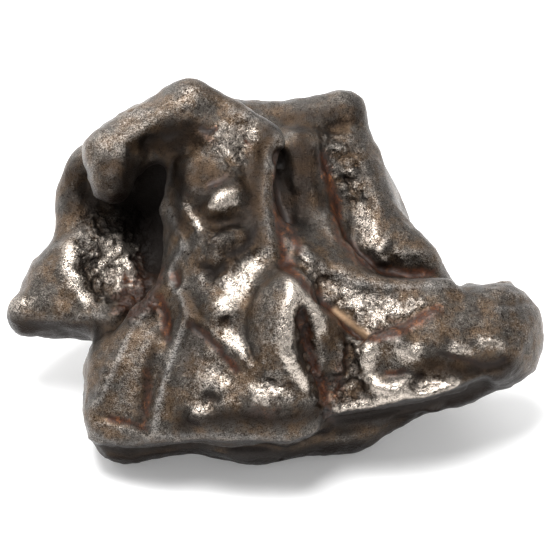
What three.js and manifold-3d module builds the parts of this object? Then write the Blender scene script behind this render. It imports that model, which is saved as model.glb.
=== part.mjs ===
// An iron meteorite, about 54 mm across: one solid lump of nickel-iron with a hooked crest, a pointed
// horn, a long blunt arm and the thumbprint hollows that melting air cut into it.
//
// The stone is described on its carved face, which leans back from the upright by FACE_LEAN degrees.
// A place on that face is [across, up, out] in millimetres: across to the right, up the slope, and out
// of the slope towards whoever looks at it. Lumps are blended together and hollows are taken out of
// them in turn. The surface of the result is meshed and stands on the table, z = 0.

import * as THREE from "three";
import { mergeVertices } from "three/addons/utils/BufferGeometryUtils.js";
import Module from "manifold-3d";

const FACE_LEAN = 40; // degrees
const FACE_HEIGHT = 18.2; // height of the face's centre above the table
const CENTRING = [0.2, -3.9, 0]; // brings the middle of the stone over the origin
const CELL = 1.1; // size of the mesh's cells
const STONE_BOX = { low: [-30, -17, -4], high: [30, 29, 34] }; // holds the stone with room to spare

const lean = THREE.MathUtils.degToRad(FACE_LEAN);
const SIN = Math.sin(lean);
const COS = Math.cos(lean);

// Where a place [x, y, z] of the standing stone lies on the carved face: [across, up, out].
function onFace([x, y, z]) {
  const h = z - FACE_HEIGHT;
  return [x, y * SIN + h * COS, h * SIN - y * COS];
}

// ---------------------------------------------------------------- shapes, as distances from a surface

// A chain of round beads, each [across, up, out, radius], joined by straight tapering necks.
function beads(...list) {
  return (u, v, d) => {
    let nearest = Infinity;
    for (let i = 0; i < Math.max(1, list.length - 1); i++) {
      const [au, av, ad, ar] = list[i];
      const [bu, bv, bd, br] = list[Math.min(i + 1, list.length - 1)];
      const [eu, ev, ed] = [bu - au, bv - av, bd - ad];
      const length = eu * eu + ev * ev + ed * ed || 1;
      const along = ((u - au) * eu + (v - av) * ev + (d - ad) * ed) / length;
      const t = Math.min(1, Math.max(0, along));
      const away = Math.hypot(u - au - t * eu, v - av - t * ev, d - ad - t * ed);
      nearest = Math.min(nearest, away - ar - t * (br - ar));
    }
    return nearest;
  };
}

// An egg with three half-sizes, [across, up, out].
function egg([cu, cv, cd], [ru, rv, rd]) {
  return (u, v, d) => {
    const [x, y, z] = [u - cu, v - cv, d - cd];
    const k = Math.hypot(x / ru, y / rv, z / rd);
    const slope = Math.hypot(x / (ru * ru), y / (rv * rv), z / (rd * rd)) || 1;
    return (k * (k - 1)) / slope;
  };
}

// The smaller of two distances, rounded over a width of blend where the surfaces meet.
function melt(a, b, blend) {
  const near = Math.max(blend - Math.abs(a - b), 0) / blend;
  return Math.min(a, b) - (near * near * blend) / 4;
}

// ---------------------------------------------------------------- the stone, lump by lump

const steps = [];
const lump = (blend, shape) => steps.push({ sign: 1, blend, shape });
const hollow = (blend, shape) => steps.push({ sign: -1, blend, shape });

// The heart of the lump, and the back that the carved face never shows.
lump(3, egg([-1, -4, -7], [14, 11.5, 9.5]));
lump(4, egg([1, 4, -13.4], [13, 10, 7]));
lump(3, beads([-8, 10, -14, 4.6], [-15, 5, -13.6, 4.6]));
lump(5, beads([-6, 0, -17, 3.6], [3, -1.5, -19.3, 4.7], [9, 0.5, -17, 3.6]));

// The pillar that stands in the middle of the face.
lump(3, beads([-6.2, 12.8, -5, 4.4], [-5.4, 5, -3.4, 5], [-4, -4, -1.8, 6], [-4, -12, -0.7, 5.6]));
// The edges of its front: a rounded one on the left, a sharper one on the right.
lump(1.5, beads([-9.4, 10.6, -3.4, 1.5], [-10, 6.4, -2.8, 1.4], [-9, 2, -1.4, 1.4], [-9.4, -2, -0.8, 1.4]));
lump(1.5, beads([-9.4, -2, -0.8, 1.4], [-9, -5, 1, 1.4], [-10.6, -9.6, 2.2, 1.5], [-11.6, -15, 1.8, 1.6]));
lump(1, beads([-8.6, 17.2, -4.4, 2], [-4.4, 16, -4, 1.7], [-0.5, 14, -3, 1.4], [-1.3, 9, -1.4, 1.3], [-1.2, 4, -0.2, 1.3]));
// The crest that runs left from the pillar's head and hooks down to a round tongue.
lump(2, beads([-8.8, 17, -4, 2.6], [-12.8, 14.6, -4.2, 2.9], [-16.2, 12.2, -3.2, 3.2], [-16.4, 9.3, -1.8, 2.3]));
lump(2, beads([-7, 14.5, -10, 4], [-12.5, 13, -10.5, 3.6], [-16.2, 11.2, -9, 3]));
lump(2, beads([-9, 15.8, -7, 3], [-14, 14.2, -7, 2.4]));
// The low wall behind the tongue, which runs down into the horn.
lump(2, beads([-19, 10.8, -9, 2.3], [-20.1, 8, -10, 2.4], [-19.8, 4.6, -9.4, 2.6], [-19.6, 1, -9, 4.1]));
// The horn.
lump(2, beads([-25, -4, -8, 2.4], [-21.5, -2.1, -9, 4.4], [-15, -1.2, -9, 5.8]));
lump(1.5, beads([-25.2, -3.6, -6.6, 1.2], [-21.6, -3.4, -5.6, 1.4], [-16.6, -3.8, -5.4, 2]));
// The skirt below the horn.
lump(3, beads([-12, -3, -3.4, 2.4], [-14.2, -9.8, -3, 5], [-14.6, -13.6, -3, 4.7]));
lump(1.2, beads([-13.6, -4.6, -0.4, 1.2], [-16, -9, -0.8, 1.4], [-17.4, -13, -1, 1.6]));
// The lower middle, and the egg-shaped boss with its drooping leg.
lump(3, egg([-3, -12, -1.4], [9, 5, 6.2]));
lump(1, egg([1.2, -5.4, 3], [4.3, 6.6, 4.8]));
lump(1.5, beads([1, -9, 3.2, 3.6], [1.2, -13.2, 2.6, 3.4]));
// The arm, with a raised edge along its foot.
lump(2, beads([8, -7, -2.4, 5.8], [15, -6.7, -2, 5.6], [21, -6.1, -3, 5]));
lump(2, beads([22.9, -4.4, -3.6, 3.2], [23, -7, -3.8, 3.65]));
lump(1.2, beads([23.4, -3.8, -3.4, 2.4], [24.6, -4.4, -3.6, 2], [24.4, -7, -3.8, 2.4]));
lump(1.5, beads([6.4, -12.6, 1.2, 1.6], [11, -11.8, 1.6, 1.7], [17, -10.3, 1, 1.8], [22, -8.3, -0.4, 2]));
// The rim along the arm's top.
lump(1.2, beads([1.4, 4.2, -1.8, 1.3], [2.5, 2, -0.7, 1.6], [4.6, 0.8, -0.4, 1.4], [9.4, -1.4, 0.2, 1.4], [16.5, -1.5, -0.2, 1.4]));
// The wall behind, with its flat brow and sloping right edge.
lump(3, egg([3, 8.5, -11.5], [8, 9, 5]));
lump(2, beads([-3.5, 15.4, -11, 2.2], [2.5, 15.8, -11.2, 2], [7, 16.8, -11.4, 1.8]));
lump(2, beads([7, 16.6, -11.4, 1.7], [8.3, 10.8, -9.6, 2.2], [10.6, 5, -8.2, 2.7], [13.6, 0.6, -7.4, 3]));
lump(2, beads([13.6, 0.6, -7.4, 3], [16, -2.4, -8, 2.8]));
// The broad spur of the wall that runs down between the valley and the trough.
lump(1.5, beads([2.7, 12.6, -7, 2.5], [2.9, 8, -5.9, 2.6], [4, 4.6, -4.8, 2.1], [9, 0.6, -3.6, 1.5]));
// The rim that hangs over the foot of the face.
lump(1.2, beads([-17.2, -15.2, -0.8, 1.6], [-14, -16, 0.2, 1.4], [-10.6, -15.5, 1, 1.4], [-4.6, -15, 2.2, 1.5]));
lump(1.2, beads([-4.6, -15, 2.2, 1.5], [1, -15, 3, 1.7], [4.4, -13, 3, 1.6]));
// The roll of metal under the rim, which the stone stands on.
lump(2, beads([-14.8, -15.4, -4.8, 3.4], [-8, -14.6, -5, 3.4], [-1.5, -15.2, -4.4, 4], [7, -13.6, -6.2, 4]));
lump(2, beads([7, -13.6, -6.2, 4], [14, -11.3, -5, 3.1], [19, -10, -5.5, 3], [22.4, -8.4, -5.4, 2.6]));

// The cave under the crest, and the valley that leads down from it.
hollow(1.2, beads([-11.8, 10.2, -6.5, 2.1], [-12.6, 6.5, -8.2, 2.9], [-12.4, 3, -7.8, 2.7]));
hollow(1, beads([-13.6, 5, -6.6, 2.2], [-18.4, 8.6, -6, 1.6]));
hollow(1.2, beads([-12.4, 1, -5, 2.4], [-13, -3, -3.4, 1.7], [-15.4, -5.2, -2.4, 1]));
// The flat of the crest that looks forward.
hollow(1.2, egg([-10.6, 12.9, 3.2], [4.4, 2.2, 5.2]));
// The bowl in the horn.
hollow(1, egg([-16.6, 0.8, -2.6], [4.4, 4.6, 3.8]));
// The bowl in the pillar's head, and the steps below it.
hollow(1, egg([-4.2, 13.2, 1.8], [3.2, 2.8, 2.9]));
hollow(0.8, egg([-4.8, 5.2, 3], [2.2, 0.9, 2.4]));
hollow(0.8, egg([-6.2, 0.2, 4.4], [1.4, 1.4, 2]));
// The valley between the pillar and the wall behind.
hollow(1, beads([0.5, 12, -4.6, 0.6], [0.7, 8, -3.4, 0.8], [1.3, 4.2, -2.2, 0.8]));
// The trough in the wall behind, steep on its left and open on its right, and the groove at its foot.
hollow(1, beads([5.4, 12.4, -6.2, 0.6], [6.6, 7.4, -5, 0.9], [8, 3.6, -4.2, 1], [11, 0.8, -4, 0.9]));
hollow(1.5, beads([6.8, 11.6, -4.8, 1.3], [8.8, 6, -3.2, 1.9], [10.4, 2.6, -3.2, 1.4]));
hollow(1, beads([11, 0.8, -4, 1], [15.8, 0.4, -4, 0.9]));
// The bright scoops beside the boss and below it.
hollow(1, beads([-2, 0.6, 5.4, 1.4], [-4.8, -3, 6.2, 1.6], [-3.6, -7.6, 7.2, 1.3]));
hollow(1, beads([-8, -5.4, 5, 0.9], [-4, -9.6, 6.8, 0.9]));
hollow(1, egg([-6.4, -12, 7], [2.6, 2.6, 2.4]));
// The three-cornered hollow in the arm.
hollow(1, beads([4.4, 0.4, 3.2, 1.4], [8.6, -3, 4.6, 3.4], [14.6, -3, 4.4, 1.8]));
hollow(0.8, beads([5, -1.8, 2.8, 0.8], [8.8, -5, 2.2, 1.1]));
// The slot beside the boss.
hollow(0.8, beads([2.8, -4, 7, 0.8], [3.6, -8.2, 6.4, 1.2], [5.2, -13.4, 5.4, 1.3]));
// The broken ground between the slot and the arm, and the curled scoop in the arm's side.
hollow(1, beads([7.2, -7, 3.4, 1.1], [7.8, -11.4, 3, 1.2]));
hollow(1, beads([10.6, -7.6, 4.6, 1], [10.8, -9.6, 4.6, 1], [12.8, -10, 4.6, 1]));
hollow(1, beads([17.4, -8.4, 3.8, 0.8], [20.4, -9.4, 3, 0.8], [22.4, -9, 2, 0.6]));
// The groove under the rim.
hollow(0.8, beads([-16.6, -17.6, -1.6, 0.7], [-10.6, -17.2, -0.6, 0.8], [-4, -17, 0.8, 0.9], [1.4, -17.6, 1, 1.2]));
hollow(0.8, beads([1.4, -17.6, 1, 1.2], [5.6, -15.6, 0.6, 1], [12, -14, -0.6, 0.8], [17, -12.4, -1.4, 0.7]));

// Thumbprints on the back and the ends: round bites, each [x, y, z, radius] in the standing frame.
const THUMBPRINTS = [
  [-9.5, 23.2, 19.8, 4.4],
  [-2.4, 23.2, 18.2, 4.6],
  [7, 23.1, 19.4, 4.6],
  [-12.4, 20.9, 11, 4],
  [-4, 22.8, 11.2, 4.2],
  [4.8, 23.4, 11.6, 4.4],
  [12.4, 20.2, 12.4, 4],
  [0.6, 21.4, 5, 4],
  [9.2, 20.2, 5.4, 3.8],
  [-9.2, 18.6, 5, 4],
  [16, 7.8, 7, 3.8],
  [-18, 17.4, 8.4, 3.6],
];
for (const [x, y, z, radius] of THUMBPRINTS) hollow(1.2, beads([...onFace([x, y, z]), radius]));

// The distance from the stone's surface at a place in the standing frame, negative inside.
function distanceAt(place) {
  const [u, v, d] = onFace(place);
  let distance = Infinity;
  for (const { sign, blend, shape } of steps) {
    const from = sign * shape(u, v, d);
    distance = sign > 0 ? melt(distance, from, blend) : -melt(-distance, -from, blend);
  }
  return distance;
}

// ---------------------------------------------------------------- meshing

const EDGES = []; // a cell's twelve edges, as pairs of its eight corners
for (let corner = 0; corner < 8; corner++) {
  for (const step of [1, 2, 4]) if (!(corner & step)) EDGES.push([corner, corner | step]);
}

// Surface nets: one vertex in each cell that the surface crosses, and one quad for each crossed edge.
function meshStone({ low, high }, cell) {
  const count = low.map((l, i) => Math.ceil((high[i] - l) / cell) + 1);
  const strideOf = [1, count[0], count[0] * count[1]];
  const place = (i, j, k) => [low[0] + i * cell, low[1] + j * cell, low[2] + k * cell];
  const values = new Float64Array(count[0] * count[1] * count[2]);
  for (let k = 0, n = 0; k < count[2]; k++) {
    for (let j = 0; j < count[1]; j++) {
      for (let i = 0; i < count[0]; i++) values[n++] = distanceAt(place(i, j, k));
    }
  }
  uncross(values, strideOf, cell);
  const vertexOf = new Map();
  const positions = [];
  for (let k = 0; k < count[2] - 1; k++) {
    for (let j = 0; j < count[1] - 1; j++) {
      for (let i = 0; i < count[0] - 1; i++) {
        const n = i + j * strideOf[1] + k * strideOf[2];
        const at = (corner) =>
          values[n + (corner & 1) + (corner & 2 ? strideOf[1] : 0) + (corner & 4 ? strideOf[2] : 0)];
        const middle = new THREE.Vector3();
        let crossings = 0;
        for (const [a, b] of EDGES) {
          const [va, vb] = [at(a), at(b)];
          if (va < 0 === vb < 0) continue;
          const t = va / (va - vb);
          const on = (bit) => (a & bit ? 1 : 0) + t * ((b & bit ? 1 : 0) - (a & bit ? 1 : 0));
          middle.add(new THREE.Vector3(on(1), on(2), on(4)));
          crossings++;
        }
        if (!crossings) continue;
        middle.divideScalar(crossings).multiplyScalar(cell).add(new THREE.Vector3(...place(i, j, k)));
        vertexOf.set(n, positions.length / 3);
        positions.push(...settle(middle, cell).toArray());
      }
    }
  }
  const faces = [];
  for (let k = 1; k < count[2] - 1; k++) {
    for (let j = 1; j < count[1] - 1; j++) {
      for (let i = 1; i < count[0] - 1; i++) {
        const n = i + j * strideOf[1] + k * strideOf[2];
        for (let axis = 0; axis < 3; axis++) {
          const inside = values[n] < 0;
          if (inside === values[n + strideOf[axis]] < 0) continue;
          const [s, t] = [strideOf[(axis + 1) % 3], strideOf[(axis + 2) % 3]];
          const ring = [n - s - t, n - t, n, n - s].map((m) => vertexOf.get(m));
          if (!inside) ring.reverse();
          const [a, b, c, d] = ring;
          faces.push(a, b, c, a, c, d);
        }
      }
    }
  }
  return { positions: new Float32Array(positions), faces: new Uint32Array(faces) };
}

// Fills in a corner wherever a grid square is inside at two opposite corners only, because two skins of
// the stone would touch along one edge there.
function uncross(values, strideOf, cell) {
  for (let found = true; found; ) {
    found = false;
    for (let n = 0; n < values.length - strideOf[1] - strideOf[2]; n++) {
      for (let axis = 0; axis < 3; axis++) {
        const [s, t] = [strideOf[(axis + 1) % 3], strideOf[(axis + 2) % 3]];
        const square = [n, n + s, n + s + t, n + t];
        const [a, b, c, d] = square.map((corner) => values[corner] < 0);
        if (a !== c || b !== d || a === b) continue;
        const outside = square.filter((corner) => values[corner] >= 0);
        const nearest = values[outside[0]] < values[outside[1]] ? outside[0] : outside[1];
        values[nearest] = -0.01 * cell;
        found = true;
      }
    }
  }
}

// Moves a point onto the surface, down the steepest way, but no further than half a cell.
function settle(point, cell) {
  const reach = 0.01;
  const start = point.clone();
  for (let pass = 0; pass < 3; pass++) {
    const here = distanceAt(point.toArray());
    const slope = new THREE.Vector3(
      distanceAt([point.x + reach, point.y, point.z]) - here,
      distanceAt([point.x, point.y + reach, point.z]) - here,
      distanceAt([point.x, point.y, point.z + reach]) - here,
    ).divideScalar(reach);
    point.addScaledVector(slope, -here / Math.max(slope.lengthSq(), 0.25));
  }
  const moved = point.clone().sub(start);
  return start.add(moved.clampLength(0, cell / 2));
}

const wasm = await Module();
wasm.setup();

function solid(positions, faces) {
  return new wasm.Manifold(new wasm.Mesh({ numProp: 3, vertProperties: positions, triVerts: faces }));
}

// Takes off everything below the table, so that the lowest bumps have small flats to stand on.
function standOnTable({ positions, faces }) {
  const below = new THREE.BoxGeometry(90, 90, 20).translate(0, 0, -10);
  below.deleteAttribute("normal");
  below.deleteAttribute("uv");
  const slab = mergeVertices(below);
  const table = solid(slab.getAttribute("position").array, new Uint32Array(slab.index.array));
  const made = solid(positions, faces).subtract(table).getMesh();
  const geometry = new THREE.BufferGeometry();
  geometry.setAttribute("position", new THREE.BufferAttribute(made.vertProperties, 3));
  geometry.setIndex(new THREE.BufferAttribute(made.triVerts, 1));
  geometry.translate(...CENTRING);
  geometry.computeVertexNormals();
  return geometry;
}

const iron = new THREE.MeshStandardMaterial({ color: 0x6e6862, metalness: 1, roughness: 0.4 });
const meteorite = new THREE.Mesh(standOnTable(meshStone(STONE_BOX, CELL)), iron);
meteorite.name = "meteorite";

const stone = new THREE.Group();
stone.add(meteorite);
export default stone;
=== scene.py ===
# %% [markdown]
# # An iron meteorite
# This lesson builds one solid lump of nickel-iron, 54 mm across, that melted on its way down through
# the air. Its smooth dark skin, its sharp melted edges and the bright crumpled iron in its hollows all
# sit on one closed mesh. The rough shape comes from the packed CAD solid. The fine shape is carved into
# a denser copy of it, and the finish is painted on with masks that are stored on the mesh.

# %% Frame
import math

import bmesh
import bpy
import numpy as np
from mathutils import Matrix, Vector, noise
from mathutils.bvhtree import BVHTree


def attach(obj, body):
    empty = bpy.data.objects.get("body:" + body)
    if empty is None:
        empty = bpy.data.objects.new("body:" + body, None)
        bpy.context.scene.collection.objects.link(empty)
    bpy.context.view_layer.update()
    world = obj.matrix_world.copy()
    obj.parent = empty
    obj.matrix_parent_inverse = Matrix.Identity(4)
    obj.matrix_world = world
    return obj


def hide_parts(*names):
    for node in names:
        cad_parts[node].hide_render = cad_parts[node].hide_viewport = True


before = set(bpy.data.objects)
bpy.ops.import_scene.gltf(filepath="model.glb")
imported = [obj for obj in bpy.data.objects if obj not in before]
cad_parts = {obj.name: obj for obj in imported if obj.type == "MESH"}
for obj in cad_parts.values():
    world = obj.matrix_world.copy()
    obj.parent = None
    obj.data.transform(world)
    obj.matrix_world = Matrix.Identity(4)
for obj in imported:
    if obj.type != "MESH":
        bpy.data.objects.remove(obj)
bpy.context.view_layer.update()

# %% [markdown]
# ## The carved face
# Most of the detail is on one side of the stone, which leans back from the upright. A place on that side
# is easier to give as millimetres across it and up it than as x, y and z, so three arrows and a centre
# are set up first. `out` points away from the stone, towards whoever looks at its carved side.

# %% Axes of the carved face
MM = 0.001
LEAN = math.radians(40)
FACE_CENTRE = np.array([0.2, -3.9, 18.2])  # millimetres
ACROSS = np.array([1.0, 0.0, 0.0])
UP = np.array([0.0, math.sin(LEAN), math.cos(LEAN)])
OUT = np.array([0.0, -math.cos(LEAN), math.sin(LEAN)])


def on_face(points):
    """Turns places in millimetres into [across, up, out] on the carved face."""
    return (points - FACE_CENTRE) @ np.array([ACROSS, UP, OUT]).T


# %% [markdown]
# ## The camera
# A close-up of a small thing is taken with a long lens from some way off, so the stone shows hardly any
# perspective. The camera looks straight at the carved face, 40 degrees above the table.

# %% Camera
LENS = 0.4  # metres
SENSOR = 0.036
VIEW_WIDTH = 0.055

camera_data = bpy.data.cameras.new("camera")
camera_data.lens = LENS * 1000
camera_data.sensor_width = SENSOR * 1000
camera_data.clip_start = 0.01
camera = bpy.data.objects.new("camera", camera_data)
bpy.context.scene.collection.objects.link(camera)
camera.location = Vector(FACE_CENTRE * MM + OUT * VIEW_WIDTH * LENS / SENSOR)
camera.rotation_euler = (math.pi / 2 - LEAN, 0, 0)
bpy.context.scene.camera = camera
print("the camera stands", round(VIEW_WIDTH * LENS / SENSOR, 3), "m from the stone")

# %% [markdown]
# ## A joined copy
# The loaded solid has loose corners on each of its faces, and rounding it would pull the faces apart.
# So a copy is made whose corners are joined. The solid itself stays as it is.

# %% Joined copy
SAME_PLACE = 0.002  # millimetres


def joined(mesh):
    """A copy of a mesh with the loose corners of its faces joined."""
    work = bmesh.new()
    work.from_mesh(mesh)
    bmesh.ops.remove_doubles(work, verts=work.verts, dist=SAME_PLACE * MM)
    made = bpy.data.meshes.new("stone")
    work.to_mesh(made)
    work.free()
    return made


stone = bpy.data.objects.new("stone", joined(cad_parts["meteorite"].data))
bpy.context.scene.collection.objects.link(stone)
print("joined:", len(stone.data.vertices), "corners")

# %% [markdown]
# ## A dense mesh to carve
# The copy has cells of about a millimetre, and the real stone's edges and pits are finer. So it is
# rounded by subdivision and then remeshed in small even squares. Even squares take carving equally well
# everywhere, which a plain subdivision doesn't give.

# %% Remesh
FINE = 0.28  # millimetres


def remeshed(piece, size, rounding=0):
    """Gives a piece a new even mesh with squares of that size, after rounding it by subdivision."""
    piece.data.transform(Matrix.Scale(1 / MM, 4))  # the modifier is too coarse for a thing this small
    if rounding:
        smooth = piece.modifiers.new("round", "SUBSURF")
        smooth.levels = smooth.render_levels = rounding
    squares = piece.modifiers.new("squares", "REMESH")
    squares.mode = "VOXEL"
    squares.voxel_size = size
    seen = piece.evaluated_get(bpy.context.evaluated_depsgraph_get())
    made = bpy.data.meshes.new_from_object(seen)
    made.transform(Matrix.Scale(MM, 4))
    piece.modifiers.clear()
    old, piece.data = piece.data, made
    bpy.data.meshes.remove(old)
    print(piece.name, "now has", len(made.polygons), "squares")


remeshed(stone, FINE, rounding=1)

# %% [markdown]
# ## Tools for carving
# A sculptor's tools work along a line or inside an outline. Here each tool finds how far every vertex
# is from a line, or how deep inside an outline, in the plane of the carved face. It then pushes the
# vertices by an amount that fades out with that distance. Vertices that the stone itself hides from the
# front stay where they are, so a cut in the crest doesn't mark the cave behind it. Smooth noise makes
# the strokes uneven, because nothing on the stone is cut with a ruler.

# %% Smooth noise
def noise_of(places, scale, seed):
    """Smooth noise from -1 to 1 with features of about that many millimetres."""
    shift = np.array([seed * 31.7, seed * 17.3, seed * 7.9])
    return np.array([noise.noise(Vector(p)) for p in places / scale + shift])


print("noise at the stone's foot:", round(float(noise_of(np.zeros((1, 3)), 1, 1)[0]), 3))

# %% [markdown]
# ## The clay
# One object keeps what every tool needs: where the vertices are, which way they face, which of them can
# be seen, and what their neighbours are. It works in numpy arrays, because a loop over 90,000 vertices
# for each of a hundred strokes would take minutes.

# %% Clay
CLEAR_OF_SKIN = 0.05  # millimetres that a ray starts off the skin
CLEAR_OF_FACE = 0.15  # and towards the front
EDGE_ON = 0.02  # a vertex that faces the front less than this counts as hidden


class Clay:
    """The vertices of a piece in millimetres, with what the carving tools need to know of them."""

    def __init__(self, piece):
        self.piece = piece
        mesh = piece.data
        self.at = np.empty(len(mesh.vertices) * 3)
        mesh.vertices.foreach_get("co", self.at)
        self.at = self.at.reshape(-1, 3) / MM
        self.edges = np.empty(len(mesh.edges) * 2, int)
        mesh.edges.foreach_get("vertices", self.edges)
        self.edges = self.edges.reshape(-1, 2)
        self.before = self.at.copy()
        self.wander = 0.5 * noise_of(self.at, scale=2.6, seed=11)
        self.wander += 0.3 * noise_of(self.at, scale=1.1, seed=12)
        self.look()

    def look(self):
        """Works out the normals and which vertices can be seen from the front."""
        mesh = self.piece.data
        mesh.vertices.foreach_set("co", (self.at * MM).ravel())
        mesh.update()
        self.normal = np.empty(len(mesh.vertices) * 3)
        mesh.vertices.foreach_get("normal", self.normal)
        self.normal = self.normal.reshape(-1, 3)
        corners = [tuple(p.vertices) for p in mesh.polygons]
        self.tree = BVHTree.FromPolygons([tuple(p) for p in self.at], corners)
        starts = self.at + self.normal * CLEAR_OF_SKIN + OUT * CLEAR_OF_FACE
        ray = self.tree.ray_cast
        out = Vector(OUT)
        facing = self.normal @ OUT > EDGE_ON
        self.seen = np.array(
            [float(f and ray(Vector(s), out)[0] is None) for s, f in zip(starts, facing)]
        )
        self.seen = self.blurred(self.seen, 3)
        self.face = on_face(self.at)

    def blurred(self, values, rounds):
        """Averages a value with its neighbours', a few times."""
        a, b = self.edges.T
        size = len(self.at)
        count = np.bincount(a, minlength=size) + np.bincount(b, minlength=size)
        for _ in range(rounds):
            total = np.bincount(a, values[b], size) + np.bincount(b, values[a], size)
            values = (values + total / np.maximum(count, 1)) / 2
        return values

    def push(self, amount):
        """Moves the vertices that can be seen along their normals."""
        self.at = self.at + self.normal * (amount * self.seen)[:, None]
        self.face = on_face(self.at)

    def tell(self, part):
        """Prints what the strokes since the last time have changed."""
        moved = np.linalg.norm(self.at - self.before, axis=1)
        print(f"{part}: {np.count_nonzero(moved > 0.02)} vertices moved, at most {moved.max():.2f} mm")
        self.before = self.at.copy()


clay = Clay(stone)
print("seen from the front:", round(float(clay.seen.mean()), 2), "of the vertices")

# %% [markdown]
# ## Distances
# Every tool needs one of two answers: how far a vertex is from a drawn line, or whether it lies inside a
# drawn outline. Both are worked out in the flat plane of the carved face, where a line is a list of
# [across, up] places. Noise makes an outline's border ragged.

# %% Lines and outlines
RAGGED = 1.4  # millimetres, the most that noise moves a border


def line_distance(clay, line):
    """How far each vertex is from a line of [across, up] places, and on which side: + is left of it."""
    here = clay.face[:, :2]
    nearest = np.full(len(here), np.inf)
    side = np.zeros(len(here))
    for a, b in zip(np.array(line[:-1], float), np.array(line[1:], float)):
        run = b - a
        t = np.clip((here - a) @ run / (run @ run), 0, 1)
        away = here - a - t[:, None] * run
        distance = np.hypot(*away.T)
        closer = distance < nearest
        nearest[closer] = distance[closer]
        cross = run[0] * (here[:, 1] - a[1]) - run[1] * (here[:, 0] - a[0])
        side[closer] = np.sign(cross[closer])
    return nearest, side


def inside(clay, outline, soft):
    """1 well inside an outline, 0 outside it, changing smoothly over the soft width at its edge."""
    here = clay.face[:, :2]
    closed = [*outline, outline[0]]
    distance, _ = line_distance(clay, closed)
    within = np.zeros(len(here), bool)
    for (au, av), (bu, bv) in zip(closed[:-1], closed[1:]):
        crosses = (av > here[:, 1]) != (bv > here[:, 1])
        where = (bu - au) * (here[:, 1] - av) / ((bv - av) or 1e-9) + au
        within ^= crosses & (here[:, 0] < where)
    depth = np.where(within, distance, -distance) + clay.wander * min(RAGGED, soft)
    t = np.clip(depth / soft + 0.5, 0, 1)
    return t * t * (3 - 2 * t)


across, up = clay.face[:, :2].T
print(f"the face spans {np.ptp(across):.1f} mm across and {np.ptp(up):.1f} mm up")

# %% [markdown]
# ## Four tools
# Running melt leaves only a few kinds of mark. A ridge is the sharp fold where two thumbprints meet, and
# a roll is a drop that froze round. A cliff is the lip of a scoop, and a facet is a plane that the air
# wore flat. Each is one function, and a negative height turns a ridge into a groove.

# %% Tools
WAVER = 0.25  # how far noise moves the side of a line
UNEVEN = 0.7  # how much noise changes a ridge's strength, and less for a roll
CREST_SPREAD = 1.35  # a ridge fades so fast that it is widened by this
CREST_SHARE = 0.62  # and its height is cut to this share, so that it doesn't stand out like a wire
CLIFF_SINK = 0.4  # the share of a cliff's height that its low side sinks by
CLIFF_STEP = 0.5  # millimetres over which a cliff rises
FACET_FADE = 2.2  # a facet's border fades over its soft width times this


def faded(clay, distance, width):
    """1 at a line and 0 at its width. The line's strength wanders, as a melted edge's does."""
    t = np.clip(1 - np.maximum(distance + WAVER * clay.wander, 0) / width, 0, 1)
    return t * (1 + UNEVEN * clay.wander)


def ridge(clay, height, width, *line):
    """A sharp crest along a line, or with a negative height a sharp groove."""
    distance, _ = line_distance(clay, line)
    t = faded(clay, distance, width * CREST_SPREAD)
    clay.push(height * CREST_SHARE * t * t)


def roll(clay, height, width, *line):
    """A rounded swelling along a line, or with a negative height a rounded dent."""
    distance, _ = line_distance(clay, line)
    t = np.clip(1 - (distance / width) ** 2, 0, 1)
    clay.push(height * t * t * (1 + 0.5 * clay.wander))


def cliff(clay, height, width, *line):
    """Lifts the ground on the left of a line, steep at the line and fading away behind it."""
    distance, side = line_distance(clay, line)
    t = faded(clay, distance, width)
    step = np.clip(distance / CLIFF_STEP, 0, 1)
    clay.push(np.where(side > 0, height, -height * CLIFF_SINK) * t * t * step)


def facet(clay, lean, lift, soft, *outline):
    """Planes an outline flat, leaning it by (across, up) and lifting or sinking it."""
    share = inside(clay, outline, soft * FACET_FADE) * clay.seen
    if share.sum() < 1:
        return
    u, v, d = clay.face.T
    weight = share / share.sum()
    middle = (u * weight).sum(), (v * weight).sum(), (d * weight).sum()
    wanted = middle[2] + lift + lean[0] * (u - middle[0]) + lean[1] * (v - middle[1])
    clay.at = clay.at + OUT * (share * (wanted - d))[:, None]
    clay.face = on_face(clay.at)


print("tools: ridge, roll, cliff and facet")

# %% [markdown]
# ## First carving: the crest and its tongue
# The crest hangs over the cave like an eyebrow, and ends in a tongue on the left. Its broad outer skin
# meets its dark front along one soft edge, so a low roll marks that edge and the front is planed back.

# %% Crest and tongue
roll(clay, 0.25, 1.8, (-9.4, 17.6), (-11, 16.2), (-12.8, 14.6), (-14.8, 12.8), (-15.6, 10.6))
facet(clay, (0, -0.45), 0, 0.9, (-9.8, 18.2), (-8.2, 18.7), (-7.2, 17.9), (-7.8, 17), (-9.9, 17.1))
facet(clay, (0.15, 0.45), -0.3, 1.2, (-14, 12.6), (-10.4, 15.6), (-8.4, 15.8), (-9.4, 13), (-12.6, 12))
ridge(clay, -0.4, 0.4, (-11.4, 14.2), (-10.9, 13.6), (-10, 14.1))
ridge(clay, -0.15, 0.3, (-13.4, 16.2), (-11.7, 17.1))
ridge(clay, -0.12, 0.3, (-13, 15.8), (-12.2, 16.3))
roll(clay, 0.3, 1.6, (-16.5, 9.5), (-16.2, 8.6))
clay.tell("crest")

# %% [markdown]
# ## The horn and its bowl
# A low wall runs down behind the tongue and ends in the horn. The bowl between them has a rim that the
# light catches, so a roll follows it. The horn's foot gets a melted edge with a crack under it.

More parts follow.
